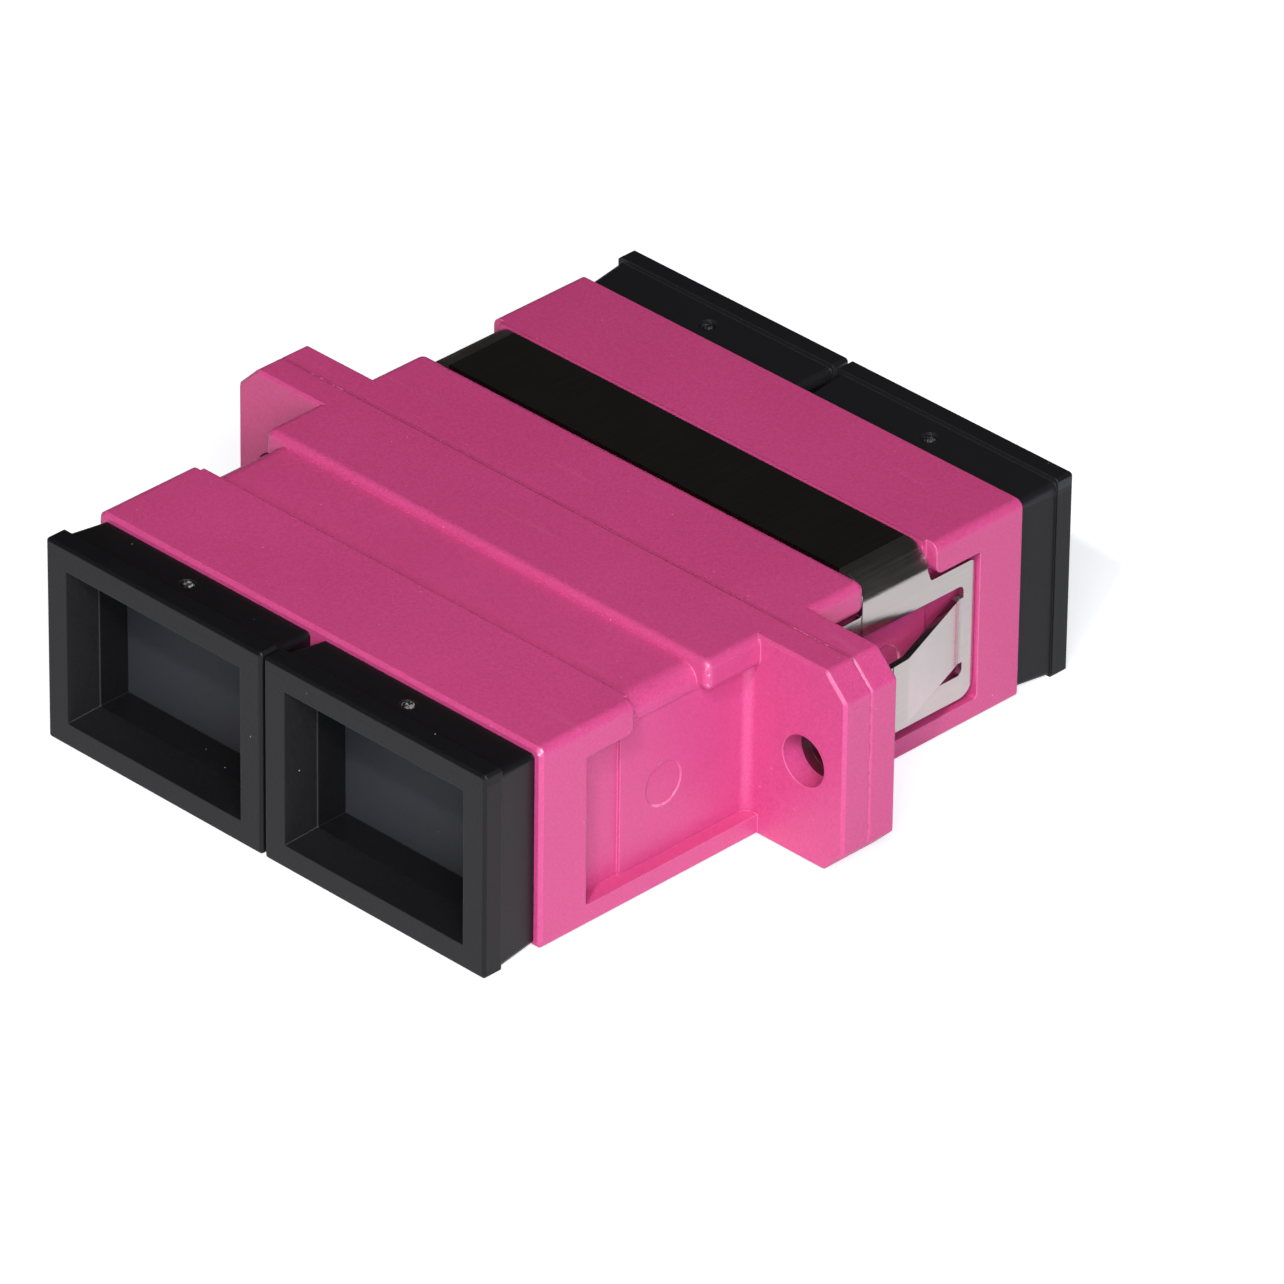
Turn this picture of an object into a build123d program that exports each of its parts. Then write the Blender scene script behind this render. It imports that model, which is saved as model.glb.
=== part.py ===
"""Duplex SC fibre adapter with a flange, a spring panel clip and four dust caps.

Two identical moulded half shells meet at the middle of the flange. Each holds, for each of its
two ports, a latch frame with half of a sleeve tube. A split sleeve lies in each pair of tubes
and lines up the two ferrules. A bent steel clip wraps the rear half, and a dust cap closes
each port.

Frame: X is across the two ports, Y is the optical axis with the front ports at -Y, Z is up.
The origin is the middle of the flange seam, half way between the ports. Millimetres.
"""
import os
from math import atan2, degrees

from build123d import *

os.makedirs("parts", exist_ok=True)

# Ports
port_pitch = 12.7
port_width = 9.0
port_height = 7.4
port_lead_in = 0.3
keyway_width = 2.6
keyway_depth = 0.5
keyway_length = 5.0

# Moulded housing
side_wall = 1.87
roof_wall = 1.0
floor_wall = 0.93
end_length = 5.37
band_width = 3.9
shoulder_length = 2.98
flange_thickness = 3.0
ear_reach = 4.73
ear_chamfer = 1.1
ear_corner_round = 0.3
hole_offset = 2.48
hole_radius = 1.15
top_edge_round = 0.4
bottom_edge_round = 0.25
end_edge_chamfer = 0.14
flange_edge_chamfer = 0.12
seam_groove = 0.08

# Band recess over the top, and the pocket on each side
band_depth = 0.36
band_side_depth = 0.6
band_edge_round = 0.8
near_step_round = 0.33
far_step_round = 0.1
rail_setback = 0.25
pocket_depth = 0.65
pocket_end_wall = 2.55
pocket_floor_rail = 1.05
pocket_roof_rail = 1.4
rail_corner_round = 0.35
pocket_corner_round = 0.15
pocket_root_round = 0.45
label_strip_width = 2.5
label_strip_depth = 0.15
ejector_mark_radius = 1.0
ejector_mark_depth = 0.06
ejector_mark_offset = 6.24
ejector_mark_drop = 0.37

# Latch frames
plate_thickness = 1.4
plate_margin = 0.15
plate_clearance = 0.05
lip_thickness = 0.7
lip_overlap_x = 0.45
lip_overlap_z = 0.75
boss_clearance = 0.05
tube_wall = 0.55
tube_lip_length = 0.45
tube_lip_overlap = 0.2
arm_thickness = 0.8
arm_height = 3.6
arm_length = 6.2
arm_root_round = 0.25
nose_reach = 0.65
nose_flat = 0.35
nose_ramp = 0.7
nose_back = 0.2

# Alignment sleeves
sleeve_outer_radius = 1.6
sleeve_bore_radius = 1.25
sleeve_length = 11.4
sleeve_slot = 0.45
sleeve_clearance = 0.05
sleeve_end_chamfer = 0.1

# Spring clip
sheet = 0.3
clip_top_gap = 0.02
clip_side_gap = 0.15
clip_bend_radius = 0.85
strap_flare = 0.2
strap_gap = 0.05
panel_end_gap = 0.08
panel_low_gap = 0.22
panel_top_gap = 0.32
panel_corner_round = 0.8
panel_shoulder_round = 0.3
strap_root_round = 0.15
window_gap = 0.65
window_height = 4.25
window_middle = -0.16
window_corner_round = 0.28
tab_height = 3.07
tab_run = 4.75
tab_rise = 1.74
tab_end_run = 2.3
tab_end_rise = 0.15
tab_bend_radius = 0.2
tab_cut = 0.15

# Dust caps
cap_gap = 0.15
rim_overhang = 0.03
rim_thickness = 0.95
rim_corner_chamfer = 0.12
rim_face_chamfer = 0.12
collar_length = 2.05
collar_side_inset = 0.1
collar_top_inset = 0.2
collar_bottom_inset = 0.06
collar_round = 0.25
collar_draft = 0.17
recess_width = 10.16
recess_height = 7.2
funnel_depth = 1.35
funnel_inset = 0.5
recess_depth = 2.9
cap_web = 1.0
plug_clearance = 0.1
plug_wall = 0.9
plug_length = 4.9
plug_lead_in = 0.3
pip_radius = 0.38
pip_depth = 0.08
pip_offset = 1.05

# Sizes that follow
body_width = port_pitch + port_width + 2 * side_wall
body_height = port_height + roof_wall + floor_wall
flange_half = flange_thickness / 2
band_near = flange_half + shoulder_length
band_far = band_near + band_width
half_length = band_far + end_length
flange_width = body_width + 2 * ear_reach
side_x = body_width / 2
top_z = port_height / 2 + roof_wall
bottom_z = top_z - body_height
floor_x = side_x - pocket_depth
band_x = side_x - band_side_depth
band_z = top_z - band_depth
hole_x = side_x + hole_offset
pocket_far = half_length - pocket_end_wall
pocket_low = -top_z + pocket_floor_rail
pocket_high = top_z - pocket_roof_rail
port_x = port_pitch / 2
plate_width = port_width + 2 * plate_margin
plate_height = port_height + 2 * plate_margin
seat_depth = plate_thickness + plate_clearance
lip_far = seat_depth + lip_thickness
aperture_width = plate_width - 2 * lip_overlap_x
aperture_height = plate_height - 2 * lip_overlap_z
boss_width = aperture_width - 2 * boss_clearance
boss_height = aperture_height - 2 * boss_clearance
tube_bore = sleeve_outer_radius + sleeve_clearance
tube_radius = tube_bore + tube_wall
lip_start = sleeve_length / 2 + sleeve_clearance
tube_length = lip_start + tube_lip_length
arm_x = boss_width / 2
arm_end = lip_far + arm_length
overshoot = 2.0


# Housing half, drawn as the front one: the seam is at Y = 0 and the ports open towards -Y
with BuildPart() as housing_front_half:
    # Half of the flange, its corners cut off and its front edges softened
    with BuildSketch(Plane.XZ) as flange_section:
        with Locations((0, bottom_z)):
            Rectangle(flange_width, body_height, align=(Align.CENTER, Align.MIN))
        chamfer(flange_section.vertices(), ear_chamfer)
        fillet(flange_section.vertices(), ear_corner_round)
    extrude(amount=flange_half)
    chamfer(faces().sort_by(Axis.Y)[0].edges(), flange_edge_chamfer)

    # Block that holds the ports, with its long edges rounded
    with BuildSketch(Plane.XZ) as body_section:
        with Locations((0, bottom_z)):
            Rectangle(body_width, body_height, align=(Align.CENTER, Align.MIN))
        fillet(body_section.vertices().group_by(Axis.Y)[-1], top_edge_round)
        fillet(body_section.vertices().group_by(Axis.Y)[0], bottom_edge_round)
    extrude(amount=half_length)
    chamfer(faces().sort_by(Axis.Y)[0].edges(), end_edge_chamfer)

    # Band recess over the top, cut round a core with larger edge rounds
    with BuildSketch(Plane.XZ.offset(band_near)):
        with Locations((0, pocket_high)):
            Rectangle(
                body_width + overshoot,
                body_height,
                align=(Align.CENTER, Align.MIN),
            )
        with BuildSketch(mode=Mode.PRIVATE) as band_core:
            with Locations((0, band_z)):
                Rectangle(2 * band_x, body_height, align=(Align.CENTER, Align.MAX))
            fillet(band_core.vertices().group_by(Axis.Y)[-1], band_edge_round)
        add(band_core.sketch, mode=Mode.SUBTRACT)
    extrude(amount=band_width, mode=Mode.SUBTRACT)

    for side in (1, -1):
        # Mouth of the side pocket between the two overhanging rails, their lower corners rounded
        with BuildSketch(Plane.YZ.offset(side * band_x)) as mouth:
            with BuildLine():
                Polyline(
                    (-flange_half, pocket_low),
                    (-flange_half, pocket_high),
                    (-band_near, pocket_high),
                    (-band_near, top_z),
                    (-band_far - rail_setback, top_z),
                    (-band_far - rail_setback, pocket_high),
                    (-pocket_far, pocket_high),
                    (-pocket_far, pocket_low),
                    close=True,
                )
            make_face()
            rail_corners = mouth.vertices().filter_by(
                lambda v: abs(v.Y - pocket_high) < 0.001
                and min(abs(v.X + band_near), abs(v.X + band_far + rail_setback)) < 0.001
            )
            fillet(rail_corners, rail_corner_round)
            fillet(mouth.vertices().group_by(Axis.X)[0], pocket_corner_round)
        extrude(amount=side * overshoot, mode=Mode.SUBTRACT)

        # Floor of the pocket, a little deeper than the side of the band
        with BuildSketch(Plane.YZ.offset(side * floor_x)) as floor:
            with Locations((-pocket_far, pocket_low)):
                Rectangle(pocket_far - flange_half, pocket_high - pocket_low, align=Align.MIN)
            fillet(floor.vertices().group_by(Axis.X)[0], pocket_corner_round)
        extrude(amount=side * pocket_depth, mode=Mode.SUBTRACT)

        # Sunk strip between the band and the end wall of the pocket
        with BuildSketch(Plane.YZ.offset(side * (floor_x - label_strip_depth))) as strip:
            with Locations((-pocket_far, pocket_low)):
                Rectangle(label_strip_width, pocket_high - pocket_low, align=Align.MIN)
            fillet(strip.vertices().group_by(Axis.X)[0], pocket_corner_round)
        extrude(amount=side * pocket_depth, mode=Mode.SUBTRACT)

        # Round mark of an ejector pin on the pocket floor
        with BuildSketch(Plane.YZ.offset(side * (floor_x - ejector_mark_depth))):
            with Locations((-ejector_mark_offset, -ejector_mark_drop)):
                Circle(ejector_mark_radius)
        extrude(amount=side * ejector_mark_depth, mode=Mode.SUBTRACT)

    # Fillet where the pocket floor runs into the flange
    pocket_roots = (
        edges()
        .filter_by(Axis.Z)
        .filter_by(lambda e: abs(e.center().Y + flange_half) < 0.001)
        .filter_by(lambda e: abs(abs(e.center().X) - floor_x) < 0.001)
    )
    fillet(pocket_roots, pocket_root_round)

    # Rounded top edges along the band
    top_edges = edges().filter_by(Axis.X).filter_by(lambda e: abs(e.center().Z - top_z) < 0.001)
    fillet(top_edges.filter_by(lambda e: abs(e.center().Y + band_near) < 0.001), near_step_round)
    fillet(top_edges.filter_by(lambda e: abs(e.center().Y + band_far) < 0.001), far_step_round)

    # Ports, from the end face to the lip that holds the latch frames
    with BuildSketch(Plane.XZ.offset(lip_far)):
        with Locations((port_x, 0), (-port_x, 0)):
            Rectangle(port_width, port_height)
    extrude(amount=half_length, mode=Mode.SUBTRACT)
    chamfer(faces().sort_by(Axis.Y)[0].inner_wires().edges(), port_lead_in)

    # Keyway in the roof of each port, beyond the band
    with BuildSketch(Plane.XZ.offset(half_length - keyway_length)):
        with Locations((port_x, port_height / 2), (-port_x, port_height / 2)):
            Rectangle(keyway_width, 2 * keyway_depth)
    extrude(amount=keyway_length + overshoot, mode=Mode.SUBTRACT)

    # Opening in the lip, and behind it the seat of each latch frame's plate
    with BuildSketch(Plane.XZ):
        with Locations((port_x, 0), (-port_x, 0)):
            Rectangle(aperture_width, aperture_height)
    extrude(amount=lip_far + overshoot, mode=Mode.SUBTRACT)
    with BuildSketch(Plane.XZ):
        with Locations((port_x, 0), (-port_x, 0)):
            Rectangle(plate_width + 2 * plate_clearance, plate_height + 2 * plate_clearance)
    extrude(amount=seat_depth, mode=Mode.SUBTRACT)

    # Screw holes in the ears
    with BuildSketch(Plane.XZ):
        with Locations((hole_x, 0), (-hole_x, 0)):
            Circle(hole_radius)
    extrude(amount=flange_half, mode=Mode.SUBTRACT)

    # Fine groove round the seam
    chamfer(faces().sort_by(Axis.Y)[-1].outer_wire().edges(), seam_groove)
housing_front_half.part.label = "housing_front_half"
export_step(housing_front_half.part, "parts/housing_front_half.step")

# The rear half is the same moulding turned round
with BuildPart() as housing_rear_half:
    add(housing_front_half.part.rotate(Axis.Z, 180))
housing_rear_half.part.label = "housing_rear_half"
export_step(housing_rear_half.part, "parts/housing_rear_half.step")


# Latch frame of the front left port
with BuildPart() as latch_frame_front_left:
    # Plate in the seat, and the boss that centres it in the lip
    with BuildSketch(Plane.XZ):
        with Locations((-port_x, 0)):
            Rectangle(plate_width, plate_height)
    extrude(amount=plate_thickness)
    with BuildSketch(Plane.XZ):
        with Locations((-port_x, 0)):
            Rectangle(boss_width, boss_height)
    extrude(amount=lip_far)

    # Two latch arms, each with a nose that ramps outward at its tip
    with BuildSketch(Plane.XY.offset(-arm_height / 2)) as arms:
        for side in (1, -1):
            with BuildLine(Location((-port_x, 0))):
                Polyline(
                    (side * arm_x, -plate_thickness),
                    (side * arm_x, -arm_end),
                    (side * (arm_x - arm_thickness / 2), -arm_end),
                    (side * (arm_x - arm_thickness - nose_reach), -arm_end + nose_ramp),
                    (side * (arm_x - arm_thickness - nose_reach), -arm_end + nose_ramp + nose_flat),
                    (
                        side * (arm_x - arm_thickness),
                        -arm_end + nose_ramp + nose_flat + nose_back,
                    ),
                    (side * (arm_x - arm_thickness), -plate_thickness),
                    close=True,
                )
            make_face()
    extrude(amount=arm_height)
    arm_roots = (
        edges()
        .filter_by(Axis.Z)
        .filter_by(
            lambda e: abs(e.center().Y + lip_far) < 0.001
            and abs(abs(e.center().X + port_x) - arm_x + arm_thickness) < 0.001
        )
    )
    fillet(arm_roots, arm_root_round)

    # Half of the tube for the alignment sleeve, with a lip that keeps the sleeve in
    with BuildSketch(Plane.XZ):
        with Locations((-port_x, 0)):
            Circle(tube_radius)
    extrude(amount=tube_length)
    with BuildSketch(Plane.XZ):
        with Locations((-port_x, 0)):
            Circle(tube_bore)
    extrude(amount=lip_start, mode=Mode.SUBTRACT)
    with BuildSketch(Plane.XZ):
        with Locations((-port_x, 0)):
            Circle(tube_bore - tube_lip_overlap)
    extrude(amount=tube_length, mode=Mode.SUBTRACT)
latch_frame_front_left.part.label = "latch_frame_front_left"
export_step(latch_frame_front_left.part, "parts/latch_frame_front_left.step")

# The other three latch frames are the same moulding
with BuildPart() as latch_frame_front_right:
    add(latch_frame_front_left.part.moved(Location((port_pitch, 0, 0))))
latch_frame_front_right.part.label = "latch_frame_front_right"
export_step(latch_frame_front_right.part, "parts/latch_frame_front_right.step")

with BuildPart() as latch_frame_rear_left:
    add(latch_frame_front_right.part.rotate(Axis.Z, 180))
latch_frame_rear_left.part.label = "latch_frame_rear_left"
export_step(latch_frame_rear_left.part, "parts/latch_frame_rear_left.step")

with BuildPart() as latch_frame_rear_right:
    add(latch_frame_front_left.part.rotate(Axis.Z, 180))
latch_frame_rear_right.part.label = "latch_frame_rear_right"
export_step(latch_frame_rear_right.part, "parts/latch_frame_rear_right.step")


# Split alignment sleeve of the left port pair
with BuildPart() as alignment_sleeve_left:
    with BuildSketch(Plane.XZ.offset(-sleeve_length / 2)):
        with Locations((-port_x, 0)):
            Circle(sleeve_outer_radius)
            Circle(sleeve_bore_radius, mode=Mode.SUBTRACT)
    extrude(amount=sleeve_length)
    sleeve_ends = faces().filter_by(Axis.Y)
    chamfer(sleeve_ends.edges().filter_by(lambda e: e.radius > sleeve_bore_radius), sleeve_end_chamfer)
    with BuildSketch(Plane.XZ.offset(-sleeve_length / 2)):
        with Locations((-port_x, 0)):
            Rectangle(sleeve_slot, 2 * sleeve_outer_radius, align=(Align.CENTER, Align.MIN))
    extrude(amount=sleeve_length, mode=Mode.SUBTRACT)
alignment_sleeve_left.part.label = "alignment_sleeve_left"
export_step(alignment_sleeve_left.part, "parts/alignment_sleeve_left.step")

with BuildPart() as alignment_sleeve_right:
    add(alignment_sleeve_left.part.moved(Location((port_pitch, 0, 0))))
alignment_sleeve_right.part.label = "alignment_sleeve_right"
export_step(alignment_sleeve_right.part, "parts/alignment_sleeve_right.step")


# Panel clip round the rear half: one strip of spring sheet
panel_x = floor_x + clip_side_gap
strap_z = band_z + clip_top_gap
panel_near = flange_half + pocket_root_round + panel_end_gap
panel_far = pocket_far - panel_end_gap
panel_low = pocket_low + panel_low_gap
panel_high = pocket_high - panel_top_gap
window_far = panel_far - window_gap
window_low = window_middle - window_height / 2
tab_length = (tab_run**2 + tab_rise**2) ** 0.5 + tab_end_run
with BuildPart() as panel_clip:
    # Strap over the top, bent down both sides
    with BuildSketch(Plane.XZ.offset(-band_near - strap_gap)):
        with BuildLine():
            strap_path = FilletPolyline(
                (-panel_x, panel_high),
                (-panel_x, strap_z),
                (panel_x, strap_z),
                (panel_x, panel_high),
                radius=clip_bend_radius,
            )
            offset(strap_path, amount=sheet, side=Side.LEFT)
        make_face()
    extrude(amount=-(band_width - 2 * strap_gap))

    for side in (1, -1):
        # Side panel and the foot of the strap
        with BuildSketch(Plane.YZ.offset(side * panel_x)) as panel:
            with Locations((panel_near, panel_low)):
                Rectangle(panel_far - panel_near, panel_high - panel_low, align=Align.MIN)
            fillet(panel.vertices().group_by(Axis.Y)[0], panel_corner_round)
            fillet(panel.vertices().group_by(Axis.Y)[-1], panel_shoulder_round)
            with BuildLine():
                Polyline(
                    (band_near + strap_gap, 0),
                    (band_near + strap_gap, strap_z - clip_bend_radius),
                    (band_far - strap_gap, strap_z - clip_bend_radius),
                    (band_far - strap_gap + strap_flare, panel_high),
                    (band_far - strap_gap + strap_flare, 0),
                    close=True,
                )
            make_face()
            strap_roots = panel.vertices().filter_by(
                lambda v: abs(v.Y - panel_high) < 0.001
                and band_near < v.X < band_far + rail_setback
            )
            fillet(strap_roots, strap_root_round)
            # Window that frees the tab
            with BuildSketch(mode=Mode.PRIVATE) as window:
                with Locations((window_far, window_low)):
                    Rectangle(
                        tab_length + tab_cut,
                        window_height,
                        align=(Align.MAX, Align.MIN),
                    )
                fillet(window.vertices(), window_corner_round)
            add(window.sketch, mode=Mode.SUBTRACT)
            # Root of the tab, still flat in the window
            with Locations((window_far + window_corner_round, window_middle)):
                Rectangle(
                    2 * window_corner_round,
                    tab_height,
                    align=(Align.MAX, Align.CENTER),
                )
        extrude(amount=side * sheet)

        # Sprung tab, bent outward and then back along the panel
        with BuildSketch(Plane.XY.offset(window_middle - tab_height / 2)) as tab:
            with BuildLine():
                tab_path = FilletPolyline(
                    (side * panel_x, window_far),
                    (side * panel_x, window_far - window_corner_round),
                    (side * (panel_x + tab_rise), window_far - window_corner_round - tab_run),
                    (
                        side * (panel_x + tab_rise + tab_end_rise),
                        window_far - window_corner_round - tab_run - tab_end_run,
                    ),
                    radius=tab_bend_radius,
                )
                offset(tab_path, amount=sheet, side=Side.LEFT if side > 0 else Side.RIGHT)
            make_face()
        extrude(amount=tab_height)
panel_clip.part.label = "panel_clip"
export_step(panel_clip.part, "parts/panel_clip.step")


# Dust cap of the front left port
rim_width = port_pitch - cap_gap
rim_height = 2 * (top_z + rim_overhang)
collar_far = half_length + collar_length
cap_far = collar_far + rim_thickness
collar_width = rim_width - 2 * collar_side_inset
collar_height = rim_height - collar_top_inset - collar_bottom_inset
pip_drop = collar_draft * (collar_length - pip_offset) / collar_length
pip_floor_z = rim_height / 2 - collar_top_inset - pip_drop - pip_depth
plug_width = port_width - 2 * plug_clearance
plug_height = port_height - 2 * plug_clearance
with BuildPart() as dust_cap_front_left:
    # Rim
    with BuildSketch(Plane.XZ.offset(collar_far)):
        with Locations((-port_x, 0)):
            Rectangle(rim_width, rim_height)
    extrude(amount=rim_thickness)
    chamfer(edges().filter_by(Axis.Y), rim_corner_chamfer)
    chamfer(faces().sort_by(Axis.Y)[0].edges(), rim_face_chamfer)

    # Collar, drafted from the rim towards the end of the housing
    with BuildSketch(Plane.XZ.offset(collar_far)):
        with Locations((-port_x, (collar_bottom_inset - collar_top_inset) / 2)):
            Rectangle(collar_width, collar_height)
    extrude(amount=-collar_length, taper=degrees(atan2(collar_draft, collar_length)))
    collar_mid = half_length + collar_length / 2
    fillet(edges().filter_by(lambda e: abs(e.center().Y + collar_mid) < 0.001), collar_round)

    # Plug in the port
    with BuildSketch(Plane.XZ.offset(half_length - plug_length)):
        with Locations((-port_x, 0)):
            Rectangle(plug_width, plug_height)
    extrude(amount=plug_length)
    chamfer(faces().sort_by(Axis.Y)[-1].edges(), plug_lead_in)

    # Hollow of the plug, open towards the inside of the port
    with BuildSketch(Plane.XZ.offset(half_length - plug_length)):
        with Locations((-port_x, 0)):
            Rectangle(plug_width - 2 * plug_wall, plug_height - 2 * plug_wall)
    extrude(amount=cap_far - recess_depth - cap_web - half_length + plug_length, mode=Mode.SUBTRACT)

    # Funnel-mouthed recess in the face
    with BuildSketch(Plane.XZ.offset(cap_far)):
        with Locations((-port_x, 0)):
            Rectangle(recess_width, recess_height)
    extrude(amount=-funnel_depth, taper=degrees(atan2(funnel_inset, funnel_depth)), mode=Mode.SUBTRACT)
    with BuildSketch(Plane.XZ.offset(cap_far)):
        with Locations((-port_x, 0)):
            Rectangle(recess_width - 2 * funnel_inset, recess_height - 2 * funnel_inset)
    extrude(amount=-recess_depth, mode=Mode.SUBTRACT)

    # Gate mark on top of the collar
    with BuildSketch(Plane.XY.offset(pip_floor_z)):
        with Locations((-port_x, -half_length - pip_offset)):
            Circle(pip_radius)
    extrude(amount=2 * pip_depth, mode=Mode.SUBTRACT)
dust_cap_front_left.part.label = "dust_cap_front_left"
export_step(dust_cap_front_left.part, "parts/dust_cap_front_left.step")

# The other three caps are the same moulding
with BuildPart() as dust_cap_front_right:
    add(dust_cap_front_left.part.moved(Location((port_pitch, 0, 0))))
dust_cap_front_right.part.label = "dust_cap_front_right"
export_step(dust_cap_front_right.part, "parts/dust_cap_front_right.step")

with BuildPart() as dust_cap_rear_left:
    add(dust_cap_front_right.part.rotate(Axis.Z, 180))
dust_cap_rear_left.part.label = "dust_cap_rear_left"
export_step(dust_cap_rear_left.part, "parts/dust_cap_rear_left.step")

with BuildPart() as dust_cap_rear_right:
    add(dust_cap_front_left.part.rotate(Axis.Z, 180))
dust_cap_rear_right.part.label = "dust_cap_rear_right"
export_step(dust_cap_rear_right.part, "parts/dust_cap_rear_right.step")
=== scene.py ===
# %% [markdown]
# This lesson dresses a duplex fibre adapter for a photograph. The shape is finished in CAD, so
# Blender brings the plastics, the sprung steel, the light and the camera. The imported model is
# loaded first, and its bounding box is kept; its lowest point sets the height of the table.

# %% Load the frame
from math import cos, radians, sin

import bpy
import numpy as np
from mathutils import Matrix, Vector


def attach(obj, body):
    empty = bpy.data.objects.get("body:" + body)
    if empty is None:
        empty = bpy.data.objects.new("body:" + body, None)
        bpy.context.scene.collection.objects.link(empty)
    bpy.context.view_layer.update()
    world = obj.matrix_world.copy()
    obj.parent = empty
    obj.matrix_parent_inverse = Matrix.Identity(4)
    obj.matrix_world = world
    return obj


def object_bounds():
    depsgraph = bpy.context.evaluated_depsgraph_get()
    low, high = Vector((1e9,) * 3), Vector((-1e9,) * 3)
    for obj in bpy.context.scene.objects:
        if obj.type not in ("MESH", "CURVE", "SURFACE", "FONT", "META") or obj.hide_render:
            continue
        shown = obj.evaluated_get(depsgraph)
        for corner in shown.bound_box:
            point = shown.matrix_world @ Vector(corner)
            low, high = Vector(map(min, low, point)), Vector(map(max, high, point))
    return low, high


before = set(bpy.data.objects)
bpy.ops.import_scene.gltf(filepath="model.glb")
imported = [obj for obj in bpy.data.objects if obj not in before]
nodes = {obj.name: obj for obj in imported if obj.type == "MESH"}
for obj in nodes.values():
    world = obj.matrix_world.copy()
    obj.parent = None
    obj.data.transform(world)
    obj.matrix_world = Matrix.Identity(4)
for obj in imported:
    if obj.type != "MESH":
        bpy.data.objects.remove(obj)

cad_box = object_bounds()

# %% [markdown]
# The picture is taken from in front, to the right and above, with a long lens from half a metre
# away, so the parallel edges nearly stay parallel. The three angles below turn the camera round
# the object, and the small sideways shifts place the object in the picture. The lens length
# follows from how many pixels one radian fills.

# %% Camera
azimuth, elevation, roll = radians(44.574), radians(31.650), radians(0.747)
distance, shift_right, shift_up = 519.635, 3.2708, -1.5459
pixels_per_radian, image_width, sensor_width = 12805.0, 1284, 36

towards_lens = Vector(
    (sin(azimuth) * cos(elevation), -cos(azimuth) * cos(elevation), sin(elevation)))
level_right = Vector((cos(azimuth), sin(azimuth), 0))
level_up = towards_lens.cross(level_right)
image_right = level_right * cos(roll) + level_up * sin(roll)
image_up = towards_lens.cross(image_right)
camera = bpy.data.objects.new("camera", bpy.data.cameras.new("camera"))
placing = Matrix((image_right, image_up, towards_lens)).transposed().to_4x4()
camera_mm = towards_lens * distance + image_right * shift_right + image_up * shift_up
placing.translation = camera_mm * 0.001
camera.matrix_world = placing
camera.data.sensor_width = sensor_width
camera.data.lens = pixels_per_radian * sensor_width / image_width
bpy.context.scene.collection.objects.link(camera)
bpy.context.scene.camera = camera
bpy.context.scene.view_settings.view_transform = "Standard"
print("lens", round(camera.data.lens, 1), "mm")

# %% [markdown]
# Materials are easier to read as sums than as a web of nodes. The small class below holds one
# socket, and each operator on it adds the Math node that does the sum. A second class holds the
# material, and its one method makes every other kind of node.

# %% Shader sums
class Value:
    """One output socket. Sums, products, powers and comparisons add a Math node behind it."""

    def __init__(self, tree, socket):
        self.tree, self.socket = tree, socket

    def sum_with(self, operation, first, second):
        node = self.tree.nodes.new("ShaderNodeMath")
        node.operation = operation
        for slot, term in zip(node.inputs, (first, second)):
            if isinstance(term, Value):
                self.tree.links.new(term.socket, slot)
            else:
                slot.default_value = term
        return Value(self.tree, node.outputs[0])

    def __add__(self, other): return self.sum_with("ADD", self, other)
    def __radd__(self, other): return self.sum_with("ADD", other, self)
    def __sub__(self, other): return self.sum_with("SUBTRACT", self, other)
    def __abs__(self): return self.sum_with("ABSOLUTE", self, 0.0)
    def __rsub__(self, other): return self.sum_with("SUBTRACT", other, self)
    def __mul__(self, other): return self.sum_with("MULTIPLY", self, other)
    def __rmul__(self, other): return self.sum_with("MULTIPLY", other, self)
    def __pow__(self, other): return self.sum_with("POWER", self, other)
    def __gt__(self, other): return self.sum_with("GREATER_THAN", self, other)
    def __lt__(self, other): return self.sum_with("LESS_THAN", self, other)


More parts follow.
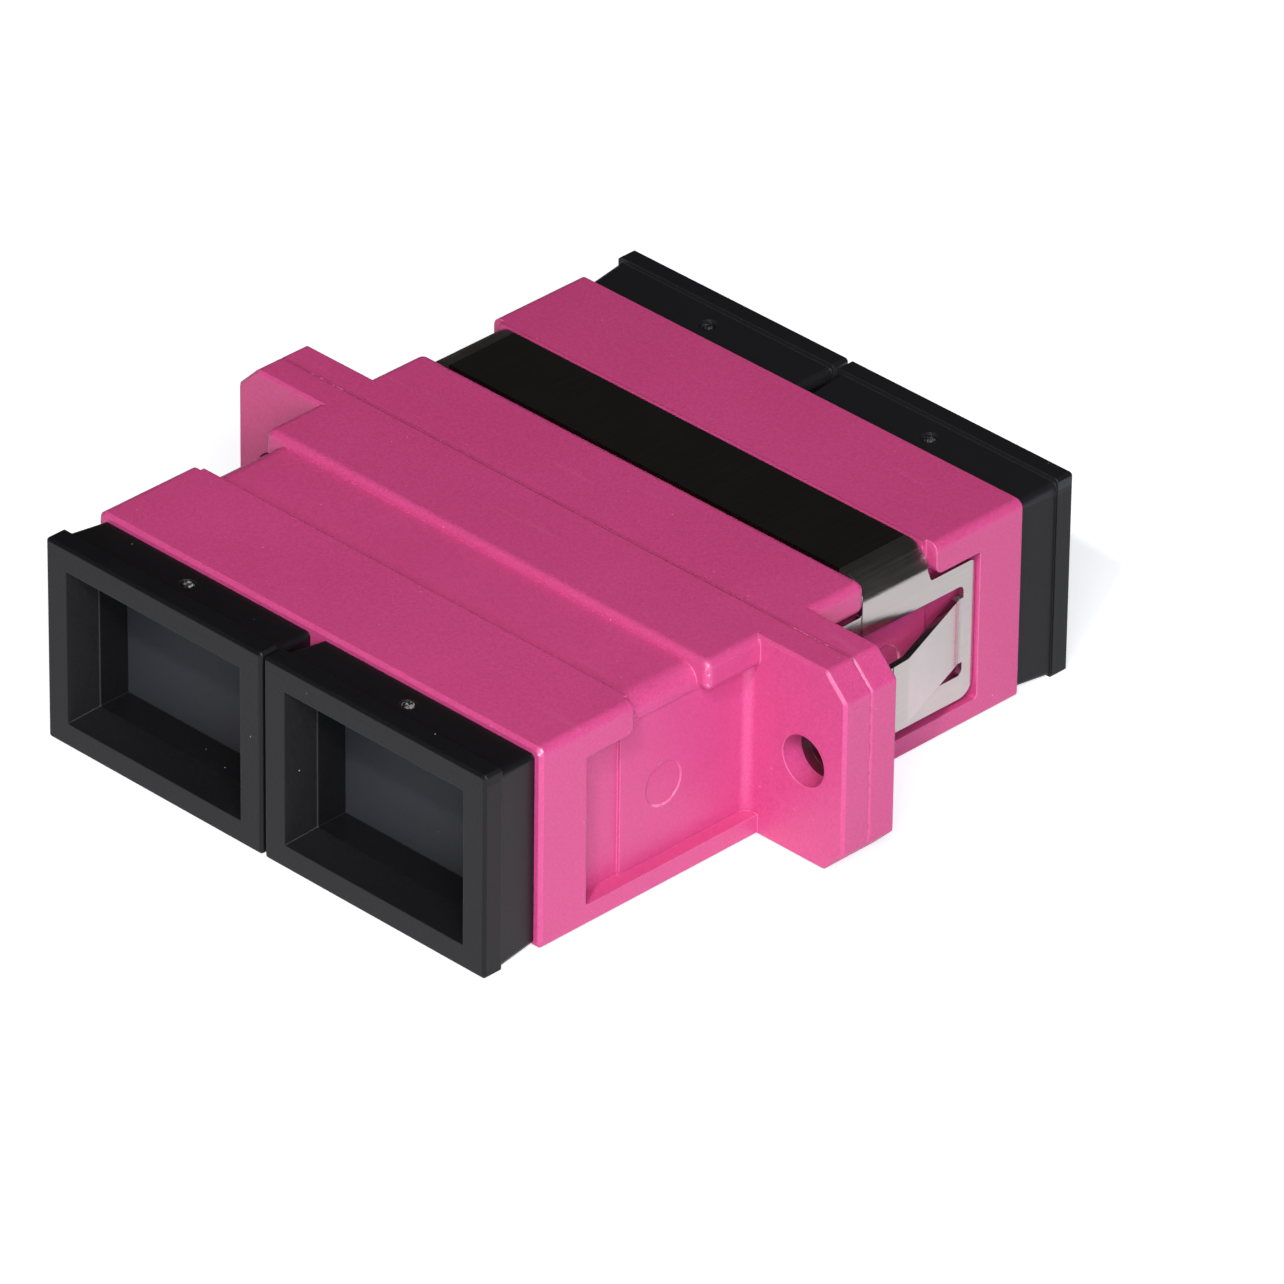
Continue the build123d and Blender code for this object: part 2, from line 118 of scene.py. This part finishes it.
class Finish:
    """A material in the making. `add` makes a node of any type, `give` feeds the shader."""

    def __init__(self, name, **constants):
        self.material = bpy.data.materials.new(name)
        self.material.use_nodes = True
        self.tree = self.material.node_tree
        self.shader = self.tree.nodes["Principled BSDF"]
        for socket, number in constants.items():
            self.shader.inputs[socket.replace("_", " ")].default_value = number
        metres = Value(self.tree, self.tree.nodes.new("ShaderNodeTexCoord").outputs["Object"])
        self.place = self.add("VectorMath", {"operation": "SCALE"}, {0: metres, "Scale": 1000.0})
        self.x, self.y, self.z = [
            self.add("SeparateXYZ", {}, {"Vector": self.place}, out=axis) for axis in "XYZ"]

    def add(self, kind, settings=None, sockets=None, out=0):
        node = self.tree.nodes.new("ShaderNode" + kind)
        for name, setting in (settings or {}).items():
            setattr(node, name, setting)
        for name, term in (sockets or {}).items():
            if isinstance(term, Value):
                self.tree.links.new(term.socket, node.inputs[name])
            else:
                node.inputs[name].default_value = term
        return Value(self.tree, node.outputs[out])

    def noise(self, per_mm, detail=2.0, stretch=(1, 1, 1)):
        """Noise from 0 to 1 with about `per_mm` lumps to a millimetre, pulled out by `stretch`."""
        place = self.add(
            "Mapping", {"vector_type": "TEXTURE"}, {"Vector": self.place, "Scale": stretch})
        return self.add("TexNoise", {}, {"Vector": place, "Scale": per_mm, "Detail": detail})

    def blend(self, share, first, second):
        """Colour that goes from `first` to `second` as `share` goes from 0 to 1."""
        return self.add("Mix", {"data_type": "RGBA"}, {0: share, 6: first, 7: second}, out=2)

    def within(self, value, low, high):
        """0 where `value` is at `low` or less, 1 at `high` or more, and a soft step between."""
        return self.add("MapRange", {"interpolation_type": "SMOOTHSTEP"},
                        {"Value": value, "From Min": low, "From Max": high})

    def near(self, value, middle, reach, fade=0.02):
        """1 where `value` is within `reach` of `middle`, and 0 outside, with a narrow fade."""
        return 1.0 - self.within(abs(value - middle), reach, reach + fade)

    def rounded(self, radius_mm):
        """The surface's normal as if every sharp edge had been rounded to a small radius."""
        return self.add("Bevel", {"samples": 6}, {"Radius": radius_mm * 0.001})

    def edge_highlights(self, soft_normal):
        """1 on an edge, where the rounded normal turns away from the flat one, and 0 elsewhere."""
        flat = Value(self.tree, self.tree.nodes.new("ShaderNodeNewGeometry").outputs["True Normal"])
        along = self.add(
            "VectorMath", {"operation": "DOT_PRODUCT"}, {0: soft_normal, 1: flat}, out="Value")
        return self.within(1.0 - along, 0.02, 0.30)

    def specks(self, per_mm, radius_mm):
        """1 in small round dots of dust that lie about 1/`per_mm` mm apart."""
        distance = self.add("TexVoronoi", {}, {"Vector": self.place, "Scale": per_mm})
        return distance < radius_mm * per_mm

    def bump(self, height, depth_mm, over=None):
        """A normal that follows `height` times `depth_mm`, laid over a rounded normal if given."""
        sockets = {"Height": height, "Strength": 1.0, "Distance": depth_mm * 0.001}
        if over is not None:
            sockets["Normal"] = over
        return self.add("Bump", {}, sockets)

    def give(self, **values):
        """Feeds each value to the shader's socket of that name."""
        for socket, term in values.items():
            self.tree.links.new(term.socket, self.shader.inputs[socket.replace("_", " ")])


def from_axis(across, up):
    """How far a point is from an axis, from its distances along the two directions across it."""
    return (across * across + up * up) ** 0.5


def dress(finish, *names):
    """Puts the finish on every material slot of the named CAD nodes."""
    for name in names:
        mesh = nodes[name].data
        mesh.materials.clear()
        mesh.materials.append(finish.material)
        print(name, "wears", finish.material.name)


# %% [markdown]
# The marks that a mould and a pair of hands leave sit at fixed places on the part, so the masks
# below need a few of its sizes. They are given in millimetres, measured from the middle of the
# seam, and most of them carry the name that the CAD source gives them.

# %% Places on the part
port_x, side_x, floor_x = 6.35, 12.72, 12.07
band_near, band_far, half_length = 4.48, 8.38, 13.75
top_z, band_z, pocket_low = 4.70, 4.34, -3.65
hole_x, hole_radius, flange_end = 15.2, 1.15, 17.45
pin_y, pin_z, pin_radius = 6.24, -0.37, 1.0
recess_floor_y, funnel_end_y = 13.85, 15.40
recess_half_x, recess_half_z = 4.58, 3.10
print("the housing is", 2 * half_length, "mm long and", 2 * top_z, "mm high")

# %% [markdown]
# The housing is moulded in a magenta engineering plastic with a satin skin. The mould gives it a
# fine grain that breaks up reflections, flow leaves very faint clouds in the colour, and handling
# leaves a few pale scuffs. Colour, roughness and height all come from the same few noises, so
# the marks agree with each other.

# %% Magenta plastic
magenta = Finish("magenta_plastic", IOR=1.57)
cloud = magenta.noise(0.16, 3.0)
grain = magenta.within(magenta.noise(7.0, 2.0), 0.25, 0.75)
speckle = magenta.within(magenta.noise(15.0, 1.0), 0.25, 0.75)
dust = magenta.specks(0.9, 0.035)
scuff = magenta.within(magenta.noise(0.9, 3.0, (6.0, 0.5, 0.5)), 0.69, 0.74)
dark_magenta, bright_magenta = (0.475, 0.044, 0.158, 1), (0.685, 0.079, 0.254, 1)
skin = magenta.blend(cloud * 0.4 + grain * 0.25 + speckle * 0.35, dark_magenta, bright_magenta)
aside, along = abs(magenta.x), abs(magenta.y)

# %% [markdown]
# Edges are painted a little paler, as a painted highlight, and made a little smoother. The mask
# finds every edge, also those that should carry no highlight: the seam's groove, the foot of the
# steps beside the band, the ledge at the bottom of the side pocket and the far rim of the band.
# Those are taken out of it again.

# %% Painted edge highlights
on_seam = magenta.near(magenta.y, 0.0, 0.09)
soft = magenta.rounded(0.08)
foot = (magenta.near(along, band_near, 0.10)
        * (magenta.z < band_z + 0.14) * (magenta.z > band_z - 0.14))
ledge_z = pocket_low + 0.07
ledge = magenta.near(magenta.z, ledge_z, 0.09) * (aside < side_x - 0.22)
# Painted shade on the top of the pocket's ledge.
ledge_top_shade = magenta.near(magenta.z, ledge_z, 0.02) * (aside < side_x - 0.06)
# Painted shade on the band's far rim, which also carries no edge highlight.
far_rim_shade = magenta.near(magenta.y, band_far + 0.03, 0.10) * (magenta.z > top_z - 0.2)
# Edge mask for the painted highlights along the edges, and for smoother edges.
edge = (magenta.edge_highlights(soft)
        * (1.0 - on_seam) * (1.0 - foot) * (1.0 - ledge) * (1.0 - far_rim_shade))

# %% [markdown]
# A few corners carry a nearly white painted highlight in broken spots. The two halves were welded
# at the flange, and a thin broken pale line along the seam stands for weld flash and is also a
# painted highlight on the groove's edges. The far edge of each screw hole lies in shade behind the
# seam, and a pale painted highlight follows part of the ring round the ejector pin's mark.

# %% Painted highlights on corners, seam and pin ring, and hole shade
shoulder_corner = (magenta.near(along, band_near, 0.16)
                   * magenta.near(aside, side_x, 0.16) * (magenta.z > top_z - 1.7))
end_corner = (magenta.near(along, half_length - 0.03, 0.16)
              * magenta.near(aside, side_x, 0.20) * (magenta.z > top_z - 0.3))
# Painted highlight on the corners, in broken spots.
corner_highlight = (shoulder_corner + end_corner) * magenta.within(magenta.noise(3.0, 3.0), 0.48, 0.62)
# Painted shade in the seam's groove on top.
seam_top_shade = on_seam * (magenta.z > top_z - 0.15)
seam_middle = magenta.near(magenta.y, 0.0, 0.02)
flash_and_highlight = (seam_middle * magenta.near(aside, 13.9, 1.1)
         * magenta.within(magenta.noise(5.0), 0.45, 0.6))
side_flash_and_highlight = (seam_middle * (aside > flange_end - 1.25)
              * magenta.within(magenta.noise(4.0), 0.35, 0.55))
hole_shade = ((from_axis(aside - hole_x, magenta.z) < hole_radius + 0.05)
              * magenta.near(magenta.y, -0.03, 0.40))
# Painted highlight along part of the pin's ring.
pin_ring_highlight = (magenta.near(from_axis(along - pin_y, magenta.z - pin_z), pin_radius, 0.04)
            * (aside < floor_x + 0.13) * magenta.within(magenta.noise(0.9), 0.48, 0.56))

# %% [markdown]
# The colours are laid over each other in three coats: pale dust, scuffs and painted highlights,
# then painted highlights on corners, then painted shade in deep magenta on the seam's groove, the
# band's far rim, the pocket's ledge and the shaded hole.

# %% Magenta coats
pale_magenta, corner_highlight_pink = (0.95, 0.36, 0.58, 1), (1.0, 0.60, 0.74, 1)
deep_magenta = (0.085, 0.006, 0.02, 1)
dust_scuffs_and_highlights = pin_ring_highlight * 0.5 + edge * 0.45 + dust * 0.5 + scuff * 0.03 + (flash_and_highlight + side_flash_and_highlight) * 0.28
shade = far_rim_shade * 0.3 + ledge_top_shade * 0.15 + seam_top_shade * 0.45 * (1.0 - flash_and_highlight) + hole_shade
lighter = magenta.blend(dust_scuffs_and_highlights, skin, pale_magenta)
with_corner_highlights = magenta.blend(corner_highlight * 0.7, lighter, corner_highlight_pink)
magenta.give(
    Base_Color=magenta.blend(shade, with_corner_highlights, deep_magenta),
    Roughness=0.34 + grain * 0.12 + cloud * 0.05 + scuff * 0.08 - edge * 0.08,
    Normal=magenta.bump(grain * 0.6 + speckle * 0.4, 0.005, over=soft),
)
dress(magenta, "housing_front_half", "housing_rear_half")

# %% [markdown]
# The dust caps are soft black plastic. Their faces look dark grey where they mirror the white table
# and near black where they mirror the room, so the colour is very dark and the gloss does the rest.
# The grain is coarser than on the housing. The floor of each recess was spark eroded in the mould,
# which makes it matt, and it is painted a little paler as painted light. A faint pale line at the
# end of the funnel and a trace of pale along every edge are painted highlights, and the tops of the
# rear caps are painted a little paler. The collar's top is bumped as if it drooped away from the
# housing, which keeps the bright housing's mirror image off it.

# %% Black plastic
black = Finish("black_plastic", IOR=1.35)
pebble = black.noise(6.0, 3.0)
patch = black.noise(0.25, 2.0)
lint = black.specks(0.8, 0.03)
black_soft = black.rounded(0.06)
black_edge_highlight = black.edge_highlights(black_soft)
from_port, out = abs(abs(black.x) - port_x), abs(black.y)
# The recess floor is painted paler, as painted light, and is made matt.
recess_floor = (black.near(out, recess_floor_y, 0.04)
                * (from_port < recess_half_x - 0.02) * (abs(black.z) < recess_half_z - 0.02))
mouth_highlight = (black.near(out, funnel_end_y, 0.025)
              * black.near(from_port, recess_half_x, 0.05) * (abs(black.z) < recess_half_z + 0.02))
# The tops of the rear caps are painted a little paler.
paler_rear_tops = (black.y > half_length - 0.75) * (black.z > top_z - 0.7)
droop_start, droop_slope = half_length - 0.15, 0.2
on_collar_top = (black.z > top_z - 0.5) * (out > droop_start)
droop = (0.0 - on_collar_top) * abs(out - droop_start) * droop_slope

# %% [markdown]
# Each cap was snapped off its runner in the mould, and the gate has left a torn stub of plastic in
# a shallow round mark on the collar. Pale spots, taken from the grain inside a circle round the
# mark, are painted glints on the stub, brighter on the front caps.

# %% Painted glints and black coats
stub_y, stub_z, stub_radius = 14.80, 4.367, 0.31
# Pale painted glints in spots inside a circle round each gate mark.
glint_spots = ((from_axis(from_port, out - stub_y) < stub_radius + 0.055)
        * (black.z > stub_z + 0.018) * black.within(pebble, 0.46, 0.56))
stub_glints = glint_spots * ((black.y < 0.0) * 0.2 + 0.06)
black_low, black_high = (0.0042, 0.0038, 0.0042, 1), (0.0085, 0.0078, 0.0085, 1)
paler_grey, lint_and_highlight_white = (0.031, 0.031, 0.0355, 1), (0.75, 0.72, 0.70, 1)
moulded = black.blend(patch * 0.4 + pebble * 0.6, black_low, black_high)
with_paler_places = black.blend(paler_rear_tops * 0.3 + recess_floor, moulded, paler_grey)
# The pale white carries the lint and the painted highlights on the edges, at the funnel's end and
# on the gate stubs.
black.give(
    Base_Color=black.blend(
        black_edge_highlight * 0.025 + mouth_highlight * 0.04 + lint * 0.5 + stub_glints, with_paler_places, lint_and_highlight_white),
    Roughness=0.27 + pebble * 0.14 + patch * 0.06 + recess_floor * 0.2,
    Normal=black.bump(pebble * 0.006 + droop, 1.0, over=black_soft),
)
dress(black, *[name for name in nodes if name.startswith("dust_cap")])

# %% [markdown]
# A torn face has small glossy facets that glint, so each stub is a surface of its own: a disc
# whose height is a flat crown that falls off at the rim, with a few waves and a slope of its own.
# It rides on its cap.

# %% Gate stubs
def gate_stub(name, body, middle, crown, turn):
    """A closed disc round `middle`, in millimetres.

    The rim wavers: three lobes and eight small ones. At r from 0 to 1 and angle a, the height is
    crown x (1 - r^6) x (0.7 + a slope along `turn` + three-lobed waves + ripples).
    """
    rings, spokes, under = 10, 40, -0.02
    r = np.linspace(0, 1, rings + 1)[1:, None]
    a = np.linspace(0, 2 * np.pi, spokes, endpoint=False)[None, :]
    ragged = 1 + 0.10 * np.sin(3 * a + turn) + 0.05 * np.sin(8 * a + 2 * turn)
    x = stub_radius * r * ragged * np.cos(a)
    y = stub_radius * r * ragged * np.sin(a) * 0.8
    slope = 0.35 * r * np.cos(a - turn)
    waves = 0.22 * r * np.sin(3 * a + 2 * turn) + 0.12 * np.sin(9 * r + 5 * a)
    z = crown * (1 - r ** 6) * (0.7 + slope + waves)
    top = np.stack([x, y, z], axis=-1).reshape(-1, 3)
    points = np.vstack([[[0, 0, crown * 0.7]], top, [[0, 0, under]]]) + np.array(middle)
    ring = 1 + np.arange(rings * spokes).reshape(rings, spokes)
    after = np.roll(ring, -1, axis=1)
    fan = np.stack([np.zeros(spokes, int), ring[0], after[0]], axis=-1)
    base = np.stack([np.full(spokes, len(points) - 1), after[-1], ring[-1]], axis=-1)
    quads = np.stack([ring[:-1], ring[1:], after[1:], after[:-1]], axis=-1).reshape(-1, 4)
    mesh = bpy.data.meshes.new(name)
    mesh.from_pydata((points * 0.001).tolist(), [], fan.tolist() + quads.tolist() + base.tolist())
    mesh.materials.append(black.material)
    piece = bpy.data.objects.new(name, mesh)
    bpy.context.scene.collection.objects.link(piece)
    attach(piece, body)


caps = [("left", "front"), ("right", "front"), ("left", "rear"), ("right", "rear")]
for number, (side, end) in enumerate(caps):
    middle = (-port_x if side == "left" else port_x,
              -stub_y if end == "front" else stub_y, stub_z)
    gate_stub("gate_stub_%s_%s" % (end, side), "cap_%s_%s" % (end, side), middle,
              crown=0.15, turn=0.6 + 1.7 * number)
print("gate stubs:", len(caps))

# %% [markdown]
# The panel clip is bent from bright rolled spring steel. It is nearly a mirror: its top shows the
# dark room and its sides show the white table. The rolls leave fine streaks along Y. Where the
# strap folds down, the metal was drawn over the tool, which curls its skin and smears the streaks.
# The crease at the root of each tab is duller, and a dark maroon line of painted shade runs along
# the strap's front edge.

# %% Spring steel
steel = Finish("spring_steel", Metallic=1.0)
rolled = steel.noise(6.0, 3.0, (1, 26, 1))
fine = steel.noise(12.0, 2.0)
stain = steel.noise(0.45, 3.0)
beside = abs(steel.x)
# A dark maroon line of painted shade along the strap's front edge.
strap_edge_shade = steel.near(steel.y, band_near + 0.05, 0.03)
bend_start, bend_height, bend_x = 3.06, 0.9, 11.2
above_bend = steel.within(steel.z, bend_start, bend_start + bend_height) * (beside > bend_x)
drawn = abs(steel.z - bend_start) * above_bend
curl = 0.0 - drawn * drawn * 0.22
tab_root_y, tab_middle_z, tab_half_width = 10.19, -0.16, 1.5
crease = (steel.near(abs(steel.y), tab_root_y, 0.12, 0.1) * (beside > floor_x - 0.07)
          * steel.near(steel.z, tab_middle_z, tab_half_width, 0.1))
streaks = rolled * (above_bend * 0.02 + 0.0022) + fine * 0.0006
dull_steel, bright_steel = (0.51, 0.464, 0.443, 1), (0.69, 0.633, 0.607, 1)
shade_maroon = (0.07, 0.035, 0.045, 1)
sheet_colour = steel.blend(stain * 0.5 + rolled * 0.5, dull_steel, bright_steel)
steel.give(
    Base_Color=steel.blend(strap_edge_shade * 0.85, sheet_colour, shade_maroon),
    Roughness=(0.08 + rolled * 0.12 + stain * 0.06 + above_bend * 0.17
               + crease * 0.35 + strap_edge_shade * 0.10),
    Normal=steel.bump(curl + (1.0 - strap_edge_shade) * streaks, 1.0, over=steel.rounded(0.02)),
)
dress(steel, "panel_clip")

# %% [markdown]
# Inside each port sits a latch frame, moulded in undyed plastic, which looks ivory and lets a
# little light in. The split sleeves are zirconia, ground round and polished, so their fine marks
# run round the bore.

# %% Ivory plastic and zirconia
ivory = Finish("frame_plastic", IOR=1.5)
flow = ivory.noise(0.5, 3.0)
matt = ivory.noise(8.0, 2.0)
ivory.give(
    Base_Color=ivory.blend(flow, (0.70, 0.68, 0.61, 1), (0.80, 0.785, 0.73, 1)),
    Roughness=0.42 + matt * 0.12,
    Normal=ivory.bump(matt, 0.004),
)
dress(ivory, *[name for name in nodes if name.startswith("latch_frame")])

zirconia = Finish("zirconia", IOR=2.1)
ground = zirconia.noise(6.0, 2.0, (1, 0.12, 1))
zirconia.give(
    Base_Color=zirconia.blend(ground, (0.80, 0.79, 0.75, 1), (0.88, 0.87, 0.84, 1)),
    Roughness=0.10 + ground * 0.08,
    Normal=zirconia.bump(ground, 0.001),
)
dress(zirconia, "alignment_sleeve_left", "alignment_sleeve_right")

# %% [markdown]
# The object lies on a white table. The camera sees the table as paper white with a soft shadow.
# An extra glow lifts it there, and a weaker one shows in mirror images of the table, while
# neither lights the object.

# %% Table
lowest, reach = cad_box[0][2], 0.35
table_corners = [(x * reach, y * reach, lowest) for x, y in ((-1, -1), (1, -1), (1, 1), (-1, 1))]
table_mesh = bpy.data.meshes.new("table")
table_mesh.from_pydata(table_corners, [], [(0, 1, 2, 3)])
table = bpy.data.objects.new("table", table_mesh)
bpy.context.scene.collection.objects.link(table)
paper = bpy.data.materials.new("white_table")
paper.use_nodes = True
tree = paper.node_tree
tree.nodes.clear()
matt_white = tree.nodes.new("ShaderNodeBsdfDiffuse")
matt_white.inputs["Color"].default_value = (0.785, 0.79, 0.825, 1)
glow = tree.nodes.new("ShaderNodeEmission")
path = tree.nodes.new("ShaderNodeLightPath")
to_eye, to_gloss, to_glass = [
    Value(tree, path.outputs["Is %s Ray" % kind]) for kind in ("Camera", "Glossy", "Transmission")]
glow_seen, glow_mirrored = 0.60, 0.195
lift = to_eye * glow_seen + (to_gloss + to_glass) * glow_mirrored
tree.links.new(lift.socket, glow.inputs["Strength"])
both = tree.nodes.new("ShaderNodeAddShader")
tree.links.new(matt_white.outputs[0], both.inputs[0])
tree.links.new(glow.outputs[0], both.inputs[1])
tree.links.new(both.outputs[0], tree.nodes.new("ShaderNodeOutputMaterial").inputs[0])
table_mesh.materials.append(paper)

# %% [markdown]
# The room is pale near the table and dark higher up, as in a small photo tent that is open at the
# back. Bright steel and glossy black show that, while the lamps do the lighting. Where the camera
# looks past the table it sees plain white.

# %% Room
room = bpy.data.worlds.new("room")
bpy.context.scene.world = room
room.use_nodes = True
tree = room.node_tree
ambient = tree.nodes["Background"]
direction = tree.nodes.new("ShaderNodeTexCoord").outputs["Generated"]
split = tree.nodes.new("ShaderNodeSeparateXYZ")
tree.links.new(direction, split.inputs[0])
height = Value(tree, split.outputs["Z"])
path = tree.nodes.new("ShaderNodeLightPath")
seen = Value(tree, path.outputs["Is Camera Ray"])
dark, pale, horizon = 0.012, 0.10, 0.05
strength = seen + (1.0 - seen) * (dark + pale * (height < horizon))
tree.links.new(strength.socket, ambient.inputs["Strength"])
ambient.inputs["Color"].default_value = (1, 1, 1, 1)

# %% [markdown]
# Three lamps stand near the camera. A large soft one lights the three faces that the camera sees,
# a small one beside it draws the fine bright lines along the rounded edges and the points of
# light on the corners, and a low bluish one lifts the upright faces.

# %% Lamps
def lamp(name, turn, tilt, away, size, watts, colour=(1, 1, 1)):
    """A square lamp, `size` and `away` in metres, that shines on the origin.

    It stands `turn` degrees round from the front and `tilt` degrees above the table.
    """
    a, e = radians(turn), radians(tilt)
    aim = Vector((sin(a) * cos(e), -cos(a) * cos(e), sin(e)))
    data = bpy.data.lights.new(name, "AREA")
    data.shape, data.size, data.energy, data.color = "SQUARE", size, watts, colour
    obj = bpy.data.objects.new(name, data)
    facing = aim.to_track_quat("Z", "Y").to_matrix().to_4x4()
    obj.matrix_world = Matrix.Translation(aim * away) @ facing
    bpy.context.scene.collection.objects.link(obj)


lamp("soft_lamp", 50, 33, 0.35, 0.20, 1.17)
lamp("edge_lamp", 30, 48, 0.35, 0.02, 0.55)
lamp("low_lamp", 58, 9, 0.35, 0.16, 0.34, (0.35, 0.55, 1.0))
